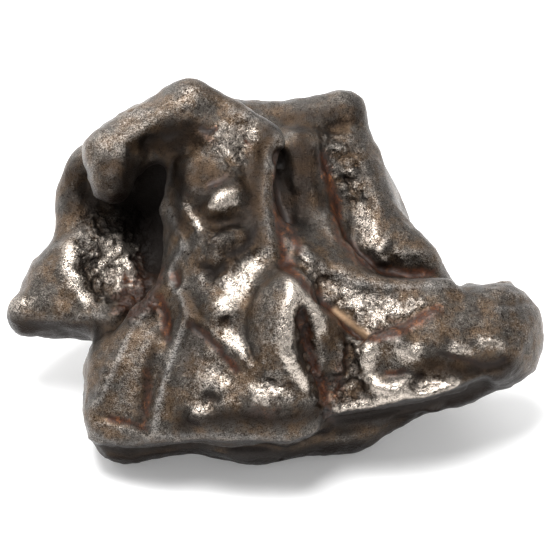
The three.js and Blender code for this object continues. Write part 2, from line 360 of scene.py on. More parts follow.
# %% Wall behind the tongue, and horn
ridge(clay, 0.3, 0.9, (-19.8, 10.8), (-20.4, 8.8), (-20.2, 6.4))
ridge(clay, -0.4, 0.7, (-19.2, 9.6), (-18.7, 7.6), (-18.9, 6.2))
roll(clay, 0.4, 1.5, (-20.8, 2.6), (-20.8, 0.8), (-20.2, -0.8), (-19, -2.2), (-17.8, -2.8))
ridge(clay, 0.25, 0.8, (-23, 2.2), (-21.6, 2.9), (-20.4, 3.2))
ridge(clay, 0.35, 1, (-26.4, -3.9), (-24, -4.4), (-20.8, -4.5), (-17.4, -4.2))
ridge(clay, -0.3, 0.45, (-25, -4.9), (-23.4, -5.2), (-22, -5.2), (-21.3, -5.6), (-21.1, -6))
roll(clay, -0.25, 1.2, (-20.8, -2.4), (-20.2, -3.2))
roll(clay, -0.5, 2.4, (-16.6, 1.4), (-16.2, -1))
clay.tell("horn")

# %% [markdown]
# ## The pillar
# The pillar's front is a shallow dish between two edges. The right edge is the sharpest line on the
# stone. Below the dish a bright swelling sits over a dark step, and under that a lip sticks out.

# %% Pillar
PILLAR_EDGE = [
    (-4.4, 16.6), (-1.3, 15.6), (0.2, 14.3), (-0.3, 12.8), (-0.7, 11.7), (-1.1, 7.3), (-0.5, 4.2),
    (-0.7, 2.2),
]
ridge(clay, 0.45, 1, *PILLAR_EDGE)
roll(clay, 0.3, 0.9, (0.3, 13.6), (1.2, 12.4), (1.8, 11), (1.9, 9))
roll(clay, -0.3, 2.2, (-3.4, 14), (-3.2, 12.4))
roll(clay, 0.7, 2.2, (-8.4, 10.2), (-8.3, 8.6))
roll(clay, -0.4, 1.1, (-6.9, 7.3), (-8, 6.2))
ridge(clay, -0.4, 0.4, (-7.4, 14.7), (-6.6, 14.3), (-5.9, 14.6))
roll(clay, 0.8, 1.9, (-5.9, 7.2), (-4, 8.3))
roll(clay, -0.2, 1.2, (-6.6, 5.5), (-5, 5.1), (-3.2, 5.5))
roll(clay, 0.5, 1.3, (-5.6, 3), (-4.2, 4.2), (-3, 3.8))
roll(clay, 0.5, 1.7, (-6.8, 3), (-6.3, 1.6))
ridge(clay, -0.7, 0.7, (-2.3, 4.2), (-2.6, 3), (-3.4, 2.4), (-4.4, 2))
ridge(clay, -0.8, 0.9, (-6.8, 0.7), (-6, 0.1), (-5.2, 0.5))
ridge(clay, 0.6, 0.8, (-9, 7.2), (-8.3, 5.8), (-7.5, 4.6))
clay.tell("pillar")

# %% [markdown]
# ## The pillar's left side
# A long fold comes down from the cave, loops once round a small pit and runs on to the foot of the face.
# It is one melt line on the stone, so its pieces are ridges that share their end points.

# %% The pillar's left side
ridge(clay, 0.45, 0.8, (-11.4, 9.2), (-11.2, 7.6), (-10.4, 5.4), (-9.4, 3.6), (-9, 2.4))
ridge(
    clay, 0.35, 0.5, (-9.9, 1.7), (-10.7, 0.2), (-10.6, -1.2), (-9.8, -1.9), (-9, -1), (-9.2, 0.6),
    (-9.9, 1.7),
)
roll(clay, -0.45, 0.7, (-9.9, 0.6), (-9.8, -0.9))
ridge(clay, 0.8, 1, (-9.6, -1.9), (-8.9, -3.4), (-8.8, -4.4), (-9.4, -6), (-10.2, -8.4), (-11.1, -10.4))
ridge(clay, 0.9, 1, (-11.1, -10.4), (-11.6, -13), (-11.9, -15.4))
clay.tell("left fold")

# %% [markdown]
# ## The wall behind
# Melting air dug a long trough in the wall on the right. Its left side is a steep step and its floor
# rises to the right, so a cliff is cut along one side and the floor is planed to a slope.

# %% Wall behind
ridge(clay, -0.3, 0.8, (0.5, 15.6), (2.5, 15.2), (5, 15.3), (6.5, 15.6))
facet(clay, (0, -0.6), 0.1, 0.6, (3.8, 16.8), (5.4, 17), (5.2, 15.8), (4, 15.9))
roll(clay, -0.4, 0.9, (5.7, 14.8), (6.9, 15.1))
roll(clay, -0.7, 0.9, (0.2, 12.1), (0.3, 11.6))
cliff(
    clay, -0.35, 2, (4.4, 13.6), (4.5, 11.8), (5.2, 9.5), (6.2, 7.5), (6.4, 5), (6.8, 3.6), (9, 1.3),
    (12, 0.1),
)
facet(
    clay, (0.45, -0.35), 0, 0.8, (7.4, 9.6), (8.8, 8.2), (10, 6), (10.8, 3.5), (11.2, 1.4), (10, 1.2),
    (8.6, 2.8), (7.6, 5), (7, 8),
)
ridge(clay, 0.45, 0.9, (8.6, 13.4), (9.2, 10.6), (10.2, 8), (11, 5), (12.2, 2.4), (13.6, 0.6))
ridge(clay, 0.5, 0.4, (11.2, 3.4), (11.5, 1.8), (11.2, 0.9))
ridge(clay, -0.35, 0.8, (7, 3.4), (9, 1.3), (12, 0), (16.2, 0.2))
ridge(clay, 0.2, 0.35, (5.2, 7), (4.9, 5.6), (5.4, 4.2), (5.9, 3.4))
clay.tell("wall behind")

# %% [markdown]
# ## The three-cornered hollow
# A deep rust-filled seam runs down between the egg-shaped boss and the hollow beside it. The hollow's
# floor comes forward as it goes down, so it catches the light, and a thin sliver stands in the seam.

# %% Hollow
facet(
    clay, (0.05, -0.3), -0.1, 0.7, (4, 1), (5.4, 0.4), (7, -0.5), (9.4, -1.6), (12.5, -2), (15.6, -2.9,
),
      (13.8, -4), (12, -5.2), (9.6, -5.9), (7, -4), (4.7, -1.2))
roll(clay, 0.7, 1.3, (2.8, 2), (4.4, 0.4))
ridge(
    clay, 0.4, 0.9, (1.2, 3.6), (3.6, 1.9), (5.6, 0.2), (7.8, -0.9), (12.8, -1.2), (16.6, -1),
    (20.6, -1.4), (23.6, -2),
)
cliff(clay, 0.5, 1.2, (16.3, -3.2), (14.3, -4.4), (12, -5.7), (9.6, -6.4))
ridge(clay, -1.1, 0.9, (0.8, 1.3), (2.5, -0.5), (4.5, -2.6), (6.6, -4.7), (9, -6.3))
ridge(clay, 0.7, 0.4, (6.5, -3.2), (7.8, -4.7), (9.1, -5.9))
clay.tell("hollow")

# %% [markdown]
# ## The boss
# The boss is an egg with two bright arms that meet at its top, like a wishbone. A deep slot of broken
# iron lies between them, so both arms are raised first and the slot is cut last.

# %% Boss
ridge(
    clay, -0.35, 0.7, (0.8, 0.7), (-0.7, 0), (-2.1, -1.6), (-3, -3.2), (-3.2, -5), (-2.8, -7),
    (-1.9, -9), (-0.4, -10.4),
)
roll(clay, 0.5, 1.5, (0.9, -0.6), (0.5, -3), (-0.2, -6))
roll(clay, 0.5, 1.5, (1.7, -0.9), (1.6, -2.6), (1.1, -5), (0.9, -7.2), (1.8, -9.2), (3, -10.8))
ridge(clay, 0.35, 1, (1.7, -1.2), (1.9, -2.6), (1.6, -5), (1.4, -7.2), (2.4, -9.4))
ridge(clay, 0.5, 1.1, (1.8, -1.2), (3.2, -2.6), (4.3, -4), (4.9, -5.8))
ridge(clay, -1.3, 1.2, (2.8, -3.9), (3.1, -5.4), (3.3, -7.2), (4.1, -9.4), (4.9, -12), (5.5, -14.2))
roll(clay, 0.6, 1.2, (5, -2.6), (5.8, -5), (6, -7.2), (5.8, -9))
ridge(clay, 0.6, 0.5, (6.6, -6.6), (6.5, -8), (6.3, -10.4))
ridge(clay, -0.8, 0.9, (7.4, -7), (8, -7.8))
clay.tell("boss")

# %% [markdown]
# ## Bright planes
# Between the pillar and the boss the face steps down in tilted planes. They look bright because they
# face the lamp, so each is planed to its own slope instead of only being painted lighter.

# %% Bright planes between the pillar and the boss
facet(
    clay, (-0.15, -0.5), 0, 0.9, (-2, 2.6), (-0.7, 1.4), (-2.2, -1), (-3.6, -3), (-5.2, -4.2),
    (-6.6, -3.2), (-6.4, -1.8), (-4.8, 0.2), (-3.2, 1.8),
)
facet(
    clay, (0.2, -0.6), 0.2, 0.5, (-5.6, -4.6), (-4.6, -4.7), (-2.7, -7.4), (-2.5, -9), (-3.3, -8.6),
    (-4.9, -6.6),
)
ridge(clay, -0.6, 0.6, (-8.5, -4.8), (-6.8, -6), (-5.2, -7.8), (-3.8, -9.5))
ridge(clay, 0.4, 0.6, (-8.2, -4), (-6.4, -5.4), (-4.8, -7.3), (-3.4, -9))
facet(
    clay, (0.1, -0.5), -0.3, 0.8, (-7.2, -8.2), (-5, -8.9), (-3.7, -10.2), (-4.6, -11.4), (-6, -12),
    (-7.4, -10.6),
)
facet(clay, (0, -0.6), 0, 0.6, (-8.4, -12.6), (-6.4, -12.4), (-5.2, -13.4), (-7.2, -14.6), (-8.6, -14))
roll(clay, -0.6, 0.8, (-6.5, -11.8), (-5.8, -12.1))
facet(clay, (0, -0.5), 0, 0.6, (-3, -11), (-1.6, -10.2), (2.2, -11.4), (1.4, -12.2), (-2.2, -12.2))
facet(clay, (0, -0.5), 0.1, 0.5, (0.2, -12.9), (2.8, -13), (2.6, -14.3), (0.6, -14.2))
roll(clay, 0.3, 1.4, (-8.4, -13.6), (-5, -13), (-3, -12.7), (0.5, -12.6), (3.2, -12.8))
clay.tell("bright planes")

# %% [markdown]
# ## The skirt
# Melted iron ran down the skirt and left sharp upright folds with flat panels between them. A narrow
# ledge crosses its foot.

# %% Skirt
ridge(
    clay, 0.75, 1, (-11.8, -1.8), (-13.2, -4), (-14.8, -6.2), (-15.8, -9), (-16.9, -11.4),
    (-17.9, -13),
)
ridge(clay, 0.3, 0.5, (-16, -9.8), (-17, -12.2))
ridge(clay, 0.3, 0.5, (-16.8, -9), (-17.8, -11.6))
ridge(clay, -0.5, 0.8, (-11.4, -2.2), (-10.8, -4), (-10.7, -6.4))
facet(
    clay, (0.25, 0), -0.1, 1.2, (-13, -5.4), (-11, -6.6), (-12.6, -14.2), (-16.6, -13.8),
    (-15.4, -9.4),
)
ridge(clay, -0.5, 0.7, (-17, -14.1), (-15, -14.6), (-12.6, -15.3))
ridge(clay, 0.4, 0.6, (-17.6, -14.9), (-15.6, -15.2), (-12.6, -15.9))
clay.tell("skirt")

# %% [markdown]
# ## The arm
# On the arm's side the melt curled into a hook around a small dish. One long crack and a few short ones
# break the arm's smooth skin, and its foot ends in a bright lip over a hollow band.

# %% Arm
roll(
    clay, 0.75, 1.5, (12.4, -6.6), (10.4, -6.9), (9.4, -8.2), (9.4, -9.8), (10.2, -11.1),
    (11.6, -11.4), (13, -11),
)
roll(clay, 0.3, 1.6, (11.2, -8.4), (11.4, -9.4))
roll(clay, 0.55, 1.9, (12.6, -8.2), (14, -8))
ridge(clay, -0.35, 0.5, (12.6, -9.5), (13.6, -9.6), (14.4, -10.1))
roll(clay, 0.35, 1.5, (13.4, -11.1), (17.4, -10.6))
facet(clay, (0, -0.6), 0, 0.6, (13.2, -10.8), (14.6, -10.2), (18, -10.6), (17.4, -11.8), (14.2, -12.2))
ridge(clay, -0.6, 0.5, (16.4, -7.8), (18.2, -8), (19.4, -8.4), (20.8, -9.1), (22, -9), (22.8, -8.5))
roll(clay, 0.4, 1.1, (18, -7.3), (19, -7.4))
roll(clay, 0.5, 1.4, (20.4, -6.8), (22.2, -6.9))
ridge(clay, -0.35, 0.5, (16.9, -6.3), (17.6, -6.9))
ridge(clay, -0.35, 0.5, (19.3, -7), (20.2, -6.6))
ridge(clay, -0.3, 0.5, (20, -3.2), (20.6, -4.2))
ridge(clay, -0.35, 0.5, (22.4, -2.7), (24, -2.9), (25.4, -2.5))
ridge(clay, 0.25, 0.5, (22.2, -3.3), (24, -3.4), (25.8, -3))
ridge(clay, 0.7, 0.9, (6, -13.6), (9, -13), (12, -12.4), (15, -11.7), (18, -10.8), (21, -9.8))
roll(clay, -0.6, 1.2, (6.4, -15), (9, -14.4), (12, -13.9), (15, -13.2), (18, -12.2), (21, -11))
clay.tell("arm")

# %% [markdown]
# ## The hanging rim
# Along the foot of the face the melt stopped in a rim that hangs over a dark groove. The rim is a ridge,
# and the groove is a sharp cut just under it. Every stroke so far has only moved numbers, so at the end
# the clay is looked at again, which also writes its new shape into the mesh.

# %% Hanging rim
ridge(
    clay, 0.45, 0.8, (-18.6, -16.2), (-16, -17), (-14, -17), (-11.6, -16.5), (-8, -16.3),
    (-4.6, -16.1), (-2, -16.1),
)
ridge(
    clay, 0.45, 0.8, (-2, -16.1), (1.2, -16.6), (4, -15.4), (6, -14.8), (9, -14.8), (12.4, -14.2),
    (16.4, -13.3),
)
ridge(
    clay, -0.8, 0.7, (-17.4, -17.5), (-14, -17.8), (-11.4, -17.3), (-7, -17), (-3, -17), (1.4, -17.5),
    (4.6, -16.2),
)
ridge(clay, -0.6, 0.6, (4.6, -16.2), (7, -15.6), (11, -15), (15, -14.1))
clay.tell("rim")
clay.look()

# %% [markdown]
# ## A second, even mesh
# Carving stretches the squares on steep places. The piece is remeshed once more, so that the cracks,
# the pits and the crumpled iron have even squares to bend.

# %% Second mesh
remeshed(stone, FINE)
clay = Clay(stone)
front = clay.seen
behind = 1 - front
print("the front is", round(float(front.mean()), 2), "of the vertices")

# %% [markdown]
# ## How much sky each place sees
# Shade is painted deep in the cave and in the slots, where little light reaches. The share of open sky
# over a vertex says how deep it lies. It is counted with a few rays per vertex and then averaged with
# the neighbours, which is quicker than many rays.

# %% How deep in a hollow each vertex lies
RAYS = 48
SETS = 4  # each vertex uses one of four sets of rays, and its neighbours use the others
REACH = 14.0  # millimetres
GOLDEN_ANGLE = 2.399963  # radians: turning by it spreads the rays evenly
OFF_SKIN = 0.08  # millimetres


def openness(clay):
    """The share of the sky over each vertex that the stone itself leaves open."""
    spread = []
    for i in range(RAYS):
        height = (i + 0.5) / RAYS
        turn = i * GOLDEN_ANGLE
        flat = math.sqrt(1 - height * height)
        spread.append((flat * math.cos(turn), flat * math.sin(turn), height))
    spread = np.array(spread)
    ray = clay.tree.ray_cast
    clear = np.zeros(len(clay.at))
    for i, (place, normal) in enumerate(zip(clay.at, clay.normal)):
        helper = (1.0, 0.0, 0.0) if abs(normal[0]) < 0.7 else (0.0, 1.0, 0.0)
        side = np.cross(normal, helper)
        side /= np.linalg.norm(side)
        basis = np.array([side, np.cross(normal, side), normal])
        start = Vector(place + normal * OFF_SKIN)
        free = 0
        for way in spread[i % SETS :: SETS] @ basis:
            on_table = start.z + way[2] * REACH < 0
            free += not on_table and ray(start, Vector(way), REACH)[0] is None
        clear[i] = free / (RAYS / SETS)
    return clay.blurred(clear, 4)


sky = openness(clay)
print("openness from", round(float(sky.min()), 2), "to", round(float(sky.max()), 2))

# %% [markdown]
# ## Painting on vertices
# The finish changes with the place: bare iron and painted highlights on bright planes, rust in the
# seams, crumpled bare iron in the hollows and painted shade deep inside. Each is a number from 0 to 1 on
# every vertex. Some are laid on with lines and outlines, as the carving was, and the others come later
# from the shape itself. Each mark below is a strength, a soft width in millimetres and its places.

# %% Painting tools
def along(clay, width, *line):
    """1 on a line, fading to 0 at its width."""
    distance, _ = line_distance(clay, line)
    t = np.clip(1 - distance / width, 0, 1)
    return t * t * (3 - 2 * t)


def lines(*marks):
    """The strongest of several lines, each given as its strength, its width and its places."""
    return np.maximum.reduce([s * along(clay, width, *places) for s, width, *places in marks])


def areas(*marks):
    """The strongest of several areas, each given as its strength, its soft width and its outline."""
    return np.maximum.reduce([s * inside(clay, outline, soft) for s, soft, *outline in marks])


def average(mask):
    return round(float(mask.mean()), 3)


print("the pillar's edge covers", average(along(clay, 1, *PILLAR_EDGE)), "of the stone")

# %% [markdown]
# ## Crumpled iron
# In the bowl, the trough, the slots and the three-cornered hollow the surface is broken like slag. The
# pillar's dish is half as rough.

# %% Crumpled iron
rough = front * areas(
    (1, 1.6, (-20, 6.5), (-16.5, 7.2), (-12.4, 6), (-12, 2), (-12.4, -4), (-14.4, -5), (-17.2, -2.6),
     (-20, 0.4), (-20.6, 2.4)),
    (1, 1.6, (4.4, 13.8), (7.4, 13.8), (9.4, 12), (9, 8), (7, 7.4), (5.6, 9.4)),
    (1, 1.6, (6.6, -7), (9, -6.6), (9, -11), (8.6, -13), (5.8, -14), (5.2, -12.4), (6.4, -9)),
    (1, 1.6, (2.6, -3.4), (3.4, -4.6), (4, -8.4), (5, -10.4), (5.6, -13.6), (4.2, -13.6), (2.8, -8),
     (2.4, -5)),
    (1, 1.6, (2.4, 2.2), (4.6, 0.8), (7, -0.7), (9.2, -1.8), (12.4, -2.2), (15, -3), (12, -5.2),
     (9.6, -5.8), (7, -3.6), (4, -1)),
)
half_rough = 0.5 * front * areas(
    (1, 1.6, (-7.6, 4.6), (-3.4, 4.8), (-2, 2.8), (-4, 0.6), (-5, -1.4), (-7.6, -1.6), (-8.2, 2)),
    (1, 1.6, (-6.6, 15), (-3, 15.2), (-2.2, 12.6), (-3.2, 10.4), (-6, 10.2), (-7.2, 12.6)),
    (1, 1.6, (-4.4, -9.8), (-1, -8.4), (2, -11), (1.4, -12.6), (-3.6, -12.4)),
)
rough = np.maximum(rough, half_rough)
print("rough:", average(rough))

# %% [markdown]
# ## Rust
# Water stands in the seams, so the rust follows the grooves and widens where two of them meet. Rust on
# real iron never has an even border. The lines here only say where it can be, and the material's noise
# breaks it up later.

# %% Rust
rust_areas = areas(
    (1, 2, (-15.4, 1.6), (-13, 3.4), (-11.2, 1), (-11, -3), (-12.4, -3.6), (-14.6, -5),
     (-16.4, -4)),
    (0.55, 1.2, (9, -3.6), (12.6, -3.4), (11.6, -5), (9.4, -5.4)),
    (0.6, 1.2, (-3.2, -12.8), (0.6, -12.8), (0.4, -14.4), (-2.6, -14.4)),
)
rust_lines = lines(
    (1, 0.9, (0.2, 12.2), (0.1, 9), (0.2, 6), (0.5, 3.6), (0.9, 1.3)),
    (1, 1.2, (0.9, 1.3), (2.5, -0.5), (4.5, -2.6), (6.6, -4.7), (9, -6.3)),
    (1, 1.3, (0.2, 6.4), (1.4, 4.6), (2.4, 2.6)),
    (0.7, 1.2, (6.6, -8), (6.2, -11), (5.8, -14)),
    (1, 1.3, (9.5, -6.5), (12, -5.9), (14.2, -4.6), (16.2, -3.5)),
    (1, 1.3, (2.8, -3.9), (3.1, -5.4), (3.3, -7.2), (4.1, -9.4), (4.9, -12), (5.5, -14.2)),
    (1, 0.9, (-8.5, -4.8), (-6.8, -6), (-5.2, -7.8), (-3.8, -9.5)),
    (0.9, 0.9, (-16.4, -14.4), (-15, -14.6), (-12.8, -15.3)),
    (0.8, 1, (-12.8, -9.6), (-12.6, -12), (-12.8, -14.6)),
    (1, 1, (-11.4, -2.2), (-10.8, -4), (-10.7, -6.4)),
    (1, 1.3, (4.6, 12), (5.2, 9.5), (6, 7.5), (6.2, 5), (6.6, 3.6), (8.6, 1.5), (11.6, 0.2),
     (16, 0.2)),
    (1, 0.8, (-7.4, 14.7), (-6.6, 14.3), (-5.9, 14.6)),
    (0.9, 1.2, (-6.3, 8.9), (-5, 9.6)),
    (0.8, 0.8, (-7.2, 14.2), (-5.8, 13)),
    (0.7, 0.6, (-3.2, 14.4), (-2.6, 12.8)),
    (0.7, 0.6, (-9.4, 8.4), (-8.8, 8)),
    (0.7, 0.8, (11.2, -9.9), (12.8, -9.5)),
    (0.8, 0.7, (17.4, -8), (19.4, -8.5), (20.8, -9.1), (22, -9), (22.8, -8.5)),
    (0.8, 1.2, (-10.2, -0.2), (-9.7, -0.6)),
)
rust_places = front * np.maximum(rust_areas, rust_lines)
print("rust:", average(rust_places))

# %% [markdown]
# ## Bare iron and painted highlights
# Clean metal shows on the rounded crests. The planes that face up to the lamp are partly bare iron and
# partly painted highlight. The strongest places are drawn first, then those where half of the dark skin
# is still there.

# %% Bare iron and painted highlights
bare_and_highlight_areas = areas(
    (1, 1.6, (-6.7, 6.8), (-5.4, 8.7), (-3.8, 8.9), (-3.4, 7.4), (-5, 6.1)),
    (1, 1.6, (-1.6, 2.4), (-0.9, 0.8), (-2.6, -1.4), (-4, -3.2), (-5.8, -3.4), (-6, -2.4), (-4.6, -0.4),
     (-3.2, 1.4)),
    (1, 1.6, (-5.6, -4.6), (-4.6, -4.8), (-2.8, -7.4), (-2.6, -8.9), (-3.3, -8.5), (-4.9, -6.5)),
    (1, 1.6, (13.2, -10.8), (14.6, -10.2), (18, -10.6), (17.4, -11.8), (14.2, -12.2)),
    (1, 1.6, (-18, 3.4), (-14, 4), (-13, 0), (-14.4, -2.6), (-18, -0.6)),
    (0.8, 2.2, (-4.8, 15), (-2, 15.2), (-1.3, 12.6), (-2.6, 11.2), (-5, 11.2), (-5.8, 12.6)),
    (0.8, 2.2, (-7.2, -8), (-5.4, -9.1), (-4.2, -10.2), (-5, -10.8), (-6.8, -9.8)),
    (0.8, 2.2, (-8.2, -12.6), (-6.4, -12.4), (-5.6, -13.2), (-7.2, -14.4), (-8.4, -13.8)),
    (0.8, 2.2, (-3, -11), (-1.6, -10.4), (1.8, -11.6), (1.2, -12.2), (-2.2, -12)),
    (0.8, 2.2, (2, 2.4), (4.6, 0.8), (7, -0.7), (9.4, -1.8), (12.5, -2.4), (14.6, -3.1), (12, -4.6),
     (9.6, -5.2), (7, -3.6), (4.6, -1.4), (3, 0.6)),
    (0.8, 2.2, (7.4, 8.2), (8.8, 7.2), (9.9, 5.4), (10.7, 3.3), (11, 2), (10.2, 1.9), (8.8, 3.4),
     (7.9, 5.4)),
    (0.8, 2.2, (7.2, 10.6), (8.2, 10.2), (8.4, 8.6), (7.2, 8.6)),
    (0.55, 1.6, (6.8, -8.4), (8.2, -8.4), (8.4, -11.8), (6.6, -12)),
)
bare_and_highlight_lines = lines(
    (0.6, 1.4, (-26.8, -2.8), (-24.6, -2.8)),
    (1, 1.1, (1.7, -0.9), (1.6, -2.6), (1.1, -5), (0.9, -7.2), (1.8, -9.2), (3, -10.8)),
    (1, 1.3, (9.6, -7.4), (9.2, -8.6), (9.3, -10), (10.2, -11.2), (11.6, -11.5), (14, -11.4),
     (17.6, -10.8)),
    (0.9, 1.6, (13, -7.8), (14, -7.6)),
    (1, 0.9, (6, -13.5), (9, -12.9), (12, -12.3), (15, -11.6), (18, -10.7)),
    (1, 1.7, (-20.7, 2), (-20.8, 0.8), (-20.2, -0.8), (-19, -2.2)),
    (0.45, 1.2, (-9.6, 17.5), (-8.4, 18)),
    (0.5, 0.8, (-5.4, 3.4), (-4.2, 4.4), (-3.4, 4.2)),
    (0.85, 1.5, (1.9, -1.2), (3.2, -2.4), (4.1, -3.8), (4.6, -5.4)),
    (1, 1, (-8.8, 6.8), (-8.2, 5.8), (-7.6, 4.8)),
    (0.8, 1.2, (20.4, -6.8), (22.2, -6.9)),
    (0.7, 1.2, (17.6, -7.2), (19.2, -7.6)),
)
# partly bare iron and partly painted highlight
bare_and_highlight_places = front * np.maximum(bare_and_highlight_areas, bare_and_highlight_lines)
print("bare:", average(bare_and_highlight_places))

# %% [markdown]
# ## Painted light
# The open parts of the skin that face the light are painted lighter, as painted light. Beside the sharp
# edges the skin is painted dark, and it is these bands that make the edges read as sharp.

# %% Painted light
painted_light_areas = areas(
    (1, 3, (-19.6, 11), (-16.8, 15.4), (-12.8, 17.8), (-12, 16.2), (-15, 13.6), (-16.6, 10.6),
     (-17.6, 8)),
    (0.6, 3, (-5, 1.4), (-3, 2.2), (-1, 1.4), (-2.6, -2), (-3.8, -6), (-4.6, -6.4), (-6, -3.6),
     (-6.4, -1)),
    (1, 3, (8.4, -6), (12, -5.8), (15.6, -7.4), (18, -10.6), (10, -12.2), (8.6, -10)),
    (1, 3, (-9, -6.5), (-6, -7), (-3, -10.4), (4, -11), (3.4, -12.2), (-6, -13.4), (-9, -12.6)),
    (1, 2, (-20, 6.5), (-16.5, 7.2), (-14, 5), (-13.4, 0), (-14.4, -3), (-17.2, -2.6), (-20, 0.4),
     (-20.6, 2.4)),
    (0.9, 2.4, (-2.4, -2.4), (0.4, -0.8), (0.8, -4), (0, -8), (-2, -8)),
    (1, 3, (-13, -4), (-11, -4.6), (-12, -14), (-17.4, -13.6), (-15.4, -8)),
    (0.8, 2, (2.4, 2.2), (4.6, 0.8), (9.2, -1.6), (15, -3), (12, -5.2), (9.6, -5.8), (7, -3.6)),
)
painted_light_lines = lines(
    (0.5, 2.2, (-6.4, 14.6), (-3.2, 15.2), (-1.6, 13), (-2.4, 11)),
    (1, 1.6, (1.7, -0.9), (1.4, -5), (1.2, -8)),
)
# painted light on the skin that faces the lamps
lighter = front * np.maximum(painted_light_areas, painted_light_lines)
print("lighter:", average(lighter))

# %% [markdown]
# ## Painted shade
# Shade is painted in bands under the crest, beside the pillar and the boss, and under the arm. It is
# thinned where the iron is bare or a highlight is painted.

# %% Painted shade
painted_shade_areas = areas(
    (1, 1.6, (-14.2, 12.6), (-10.8, 15.4), (-8.6, 16), (-6.6, 15.4), (-7.2, 13), (-9.6, 12.4),
     (-12, 12.2)),
    (0.75, 2, (-10, 11.6), (-6.6, 11.2), (-5.8, 9), (-7.2, 6.8), (-9.6, 7)),
    (0.7, 2, (-6.6, 11), (-2.4, 10.4), (-1.6, 4), (-7.4, 4), (-7, 9)),
    (0.5, 2, (-9.2, -2.4), (-7.4, -2.2), (-6.4, -6), (-7, -10), (-9.6, -10)),
    (1, 1.4, (0.2, 12.6), (2.6, 14), (4.2, 12.6), (4, 7), (3.4, 4.6), (1.4, 3.4), (0.4, 6), (0.2, 9)),
    (0.6, 2, (-15.4, 1.6), (-13, 3.4), (-11.2, 1), (-11, -3), (-12.4, -3.6), (-14.6, -5),
     (-16.4, -4)),
    (0.6, 1.2, (-7, 4.4), (-2.6, 4.8), (-2.8, 2.4), (-5, 1.4), (-7, 1.6)),
    (0.8, 1.6, (-17.4, 11.4), (-14.4, 12), (-14.4, 7), (-16.4, 6.6), (-17.8, 8.2)),
    (0.8, 1.6, (-21.4, 11), (-19.4, 11.6), (-17.4, 6.6), (-19, 4.6), (-21.6, 6.6)),
)
painted_shade_lines = lines(
    (1, 1.3, (-6.9, 5.6), (-5, 5.1), (-3, 5.6)),
    (1, 0.9, (-6.3, 10), (-6.2, 9.2), (-6.8, 7.4), (-8, 6.4)),
    (0.8, 1.6, (1, 15.8), (5, 16.2), (8, 16.6)),
    (1, 1.7, (-0.6, 14.6), (-1.6, 12), (-2.1, 9), (-2.1, 5.4), (-1.8, 3.4)),
    (0.8, 0.9, (-12, -7), (-12.8, -10), (-13.4, -14.6)),
    (1, 1.2, (5.6, 15.2), (8, 15.8)),
    (1, 1, (-2.3, 4.2), (-2.6, 3), (-3.4, 2.4), (-4.4, 2)),
    (1, 1.4, (-7, 1), (-5.6, 0.2), (-4.4, 1.6)),
    (1, 1.2, (2.6, 14.8), (3.4, 11), (4.6, 7)),
    (1, 1.6, (-9, -14.6), (-4, -14), (1, -14.4), (4.4, -13.6)),
    (1, 2.4, (-16, -18.4), (-8, -18.6), (0, -19.4), (8, -18)),
    (1, 1.6, (-16.2, 7.4), (-15, 9), (-14.4, 11.2)),
    (1, 2, (5.6, -15.2), (9, -14.6), (12, -14), (15, -13.3), (18, -12.3), (23, -10.4)),
    (1, 1.6, (-27, -5), (-24, -5.4), (-20.6, -5.6), (-17, -5.2)),
    (1, 1.8, (15, -8.8), (19, -9.6), (23.6, -9)),
    (1, 2, (-9.8, 13), (-9.6, 9), (-9.4, 5)),
)
# painted shade beside the edges and under the overhangs
darker = front * np.maximum(painted_shade_areas, painted_shade_lines)
darker = darker * (1 - 0.8 * bare_and_highlight_places)
print("darker:", average(darker))

# %% [markdown]
# ## Edge highlights
# The thinnest marks come last. A pale grey line is painted along each melt edge as a painted highlight.

# %% Edges
edge = front * lines(
    (0.6, 0.4, *PILLAR_EDGE),
    (0.8, 0.45, (-10.3, 11), (-11.1, 8.2), (-10.2, 5.5), (-9.1, 2.9), (-10.2, 1.1), (-10.6, -0.4),
     (-9.8, -1.9)),
    (1, 0.38, (-9.6, -1.9), (-8.9, -3.4), (-8.8, -4.4), (-9.4, -6), (-10.2, -8.4), (-11.1, -10.4),
     (-11.6, -13), (-11.9, -15.4)),
    (0.7, 0.38, (-13.2, -4), (-14.8, -6.2), (-15.8, -9), (-16.9, -11.4), (-17.9, -13)),
    (0.7, 0.5, (-18.6, -15.6), (-17, -16.6), (-15, -17), (-13, -16.6), (-10.5, -16), (-7, -16),
     (-4, -16), (1.2, -16.4)),
    (0.6, 0.6, (1.4, 3.4), (3.6, 1.7), (5.6, 0.1), (7.8, -0.9), (12.8, -1.2), (16.6, -1), (20.6, -1.2)),
    (0.9, 0.7, (6, -14.8), (9, -14.8), (12.4, -14.2), (16.4, -13.3), (19, -12.4)),
    (0.5, 0.6, (-26.4, -3.9), (-24, -4.4), (-20.8, -4.5), (-17.4, -4.2)),
    (0.5, 0.5, (5.2, 7), (4.9, 5.6), (5.4, 4.2), (5.9, 3.4)),
    (0.6, 0.6, (22.2, -3.3), (24, -3.4), (25.8, -3)),
)
print("edge:", average(edge))
